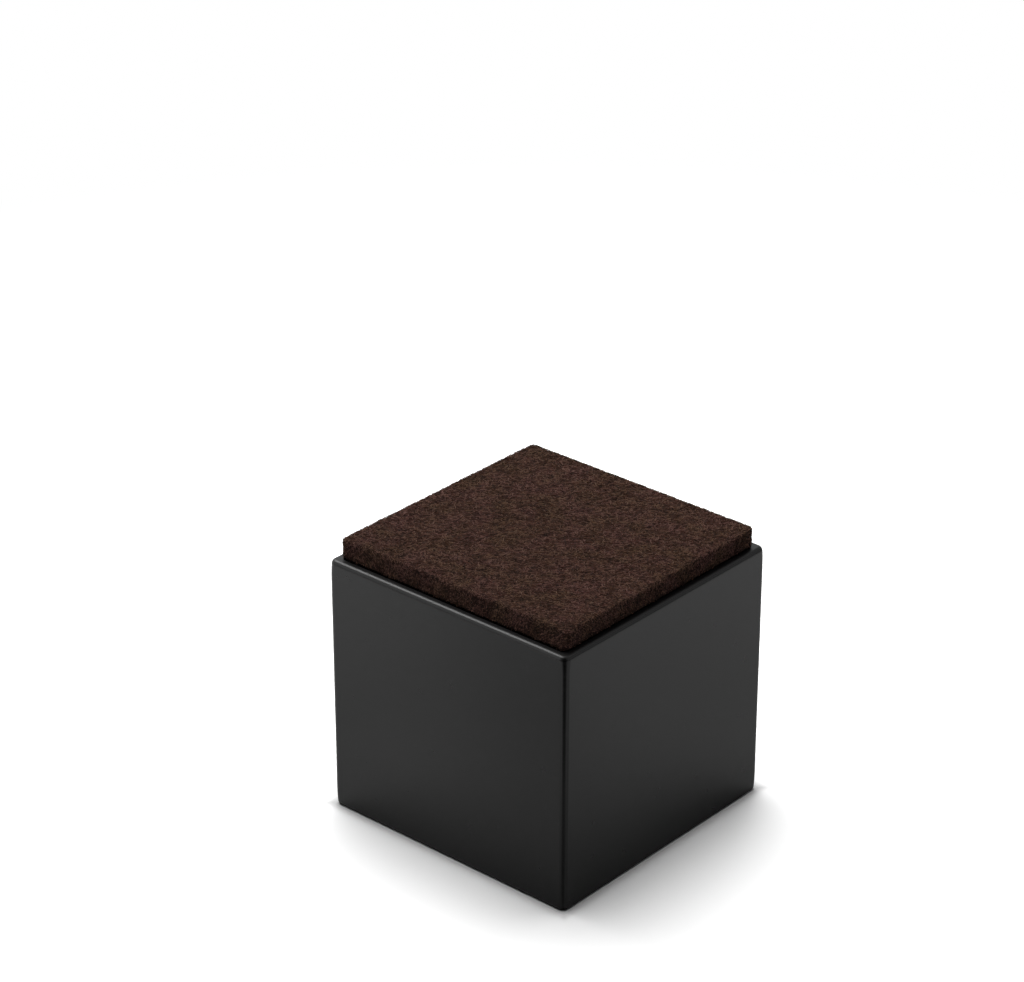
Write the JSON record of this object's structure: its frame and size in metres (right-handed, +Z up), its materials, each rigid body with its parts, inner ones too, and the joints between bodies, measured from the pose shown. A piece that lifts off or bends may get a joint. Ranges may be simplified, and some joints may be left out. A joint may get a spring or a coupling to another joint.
{
  "type": "bed riser",
  "caption": "Square block bed riser in satin black with a brown felt pad on its top face, for lifting a bed leg off the floor.",
  "frame": {"origin": "centre of the block's underside, on the floor", "axes": "+Z up through the felt pad, X and Y square to the block's side faces"},
  "size_m": [0.076, 0.076, 0.075],
  "materials": {
    "black_lacquered_block": "satin black lacquer over a solid wooden block",
    "dark_adhesive": "matt dark glue sheet",
    "brown_felt": "needled felt, dark brown, short tangled fibres"
  },
  "bodies": {
    "root": {"riser_block": "black_lacquered_block", "adhesive_sheet": "dark_adhesive", "felt_pad": "brown_felt"}
  },
  "joints": []
}
